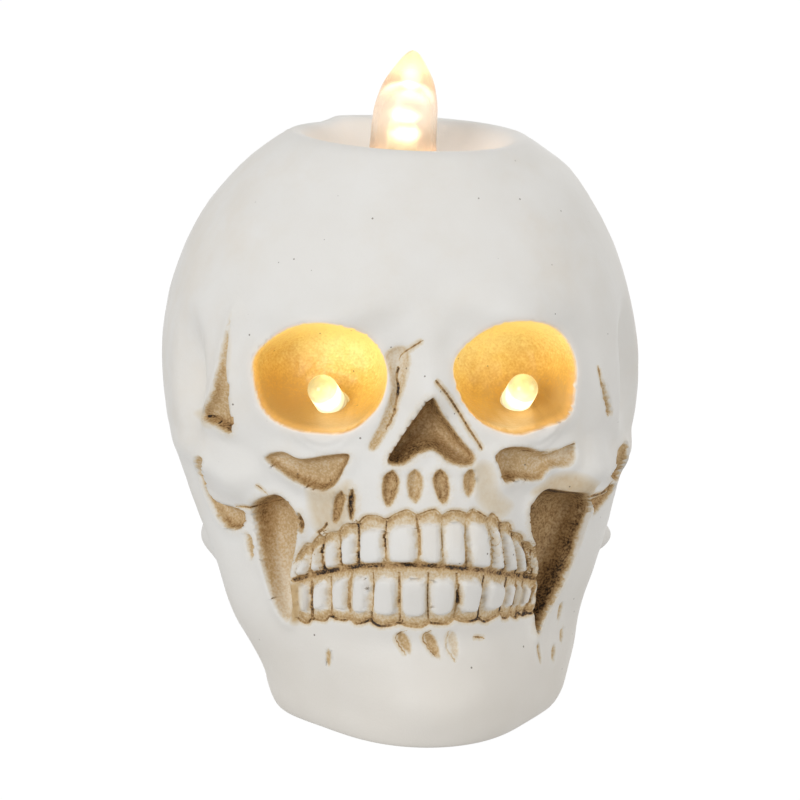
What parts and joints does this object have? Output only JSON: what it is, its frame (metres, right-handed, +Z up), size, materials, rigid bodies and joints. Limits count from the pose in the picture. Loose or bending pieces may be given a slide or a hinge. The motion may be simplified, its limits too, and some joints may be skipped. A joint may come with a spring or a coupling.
{
  "type": "skull lantern",
  "caption": "Cast resin skull lantern with an electric flame in its dished crown, amber lamps in the eye sockets and a battery module in the base.",
  "frame": {"origin": "on the standing surface, under the middle of the overall box", "axes": "+Z up, the face looks along -Y, +X is the right of the picture"},
  "size_m": [0.0804, 0.0929, 0.1093],
  "materials": {
    "resin": "matt cast resin with a tan wash in the hollows",
    "lens": "clear, lit from inside",
    "lamp": "clear, lit",
    "black_plastic": "moulded",
    "grey_plastic": "moulded",
    "steel": "plated",
    "brass": "stamped",
    "board": "lacquered board",
    "resistor": "lacquered",
    "red_cover": "extruded",
    "black_cover": "extruded"
  },
  "bodies": {
    "skull": {"skull_casting": "resin", "flame_lens": "lens", "flame_led": "lamp", "flame_holder": "black_plastic", "eye_led_left": "lamp", "led_sleeve_left": "black_plastic", "eye_led_right": "lamp", "led_sleeve_right": "black_plastic", "module_base": "black_plastic", "module_cap": "black_plastic", "coin_cell_lower": "steel", "coin_cell_upper": "steel", "contact_negative": "brass", "contact_positive": "brass", "switch_body": "steel", "circuit_board": "board", "timer_chip": "black_plastic", "resistor_left": "resistor", "resistor_flame": "resistor", "resistor_right": "resistor", "wire_left_red": "red_cover", "wire_left_black": "black_cover", "wire_right_red": "red_cover", "wire_right_black": "black_cover", "wire_flame_red": "red_cover", "wire_flame_black": "black_cover"},
    "battery_door": {"battery_door": "black_plastic"},
    "door_screw": {"door_screw": "steel"},
    "switch_knob": {"switch_knob": "grey_plastic"}
  },
  "joints": [
    {"name": "door_hinge", "type": "hinge", "parent": "skull", "child": "battery_door", "pos_m": [-0.0027, -0.0154, 0.0019], "axis": [-1, 0, 0], "range_deg": [0, 95]},
    {"name": "screw_turn", "type": "hinge", "parent": "battery_door", "child": "door_screw", "pos_m": [-0.0027, 0.0103, 0.003], "axis": [0, 0, -1], "continuous": true},
    {"name": "switch_slide", "type": "slide", "parent": "skull", "child": "switch_knob", "axis": [0, 1, 0], "range_m": [-0.002, 0.002]}
  ]
}
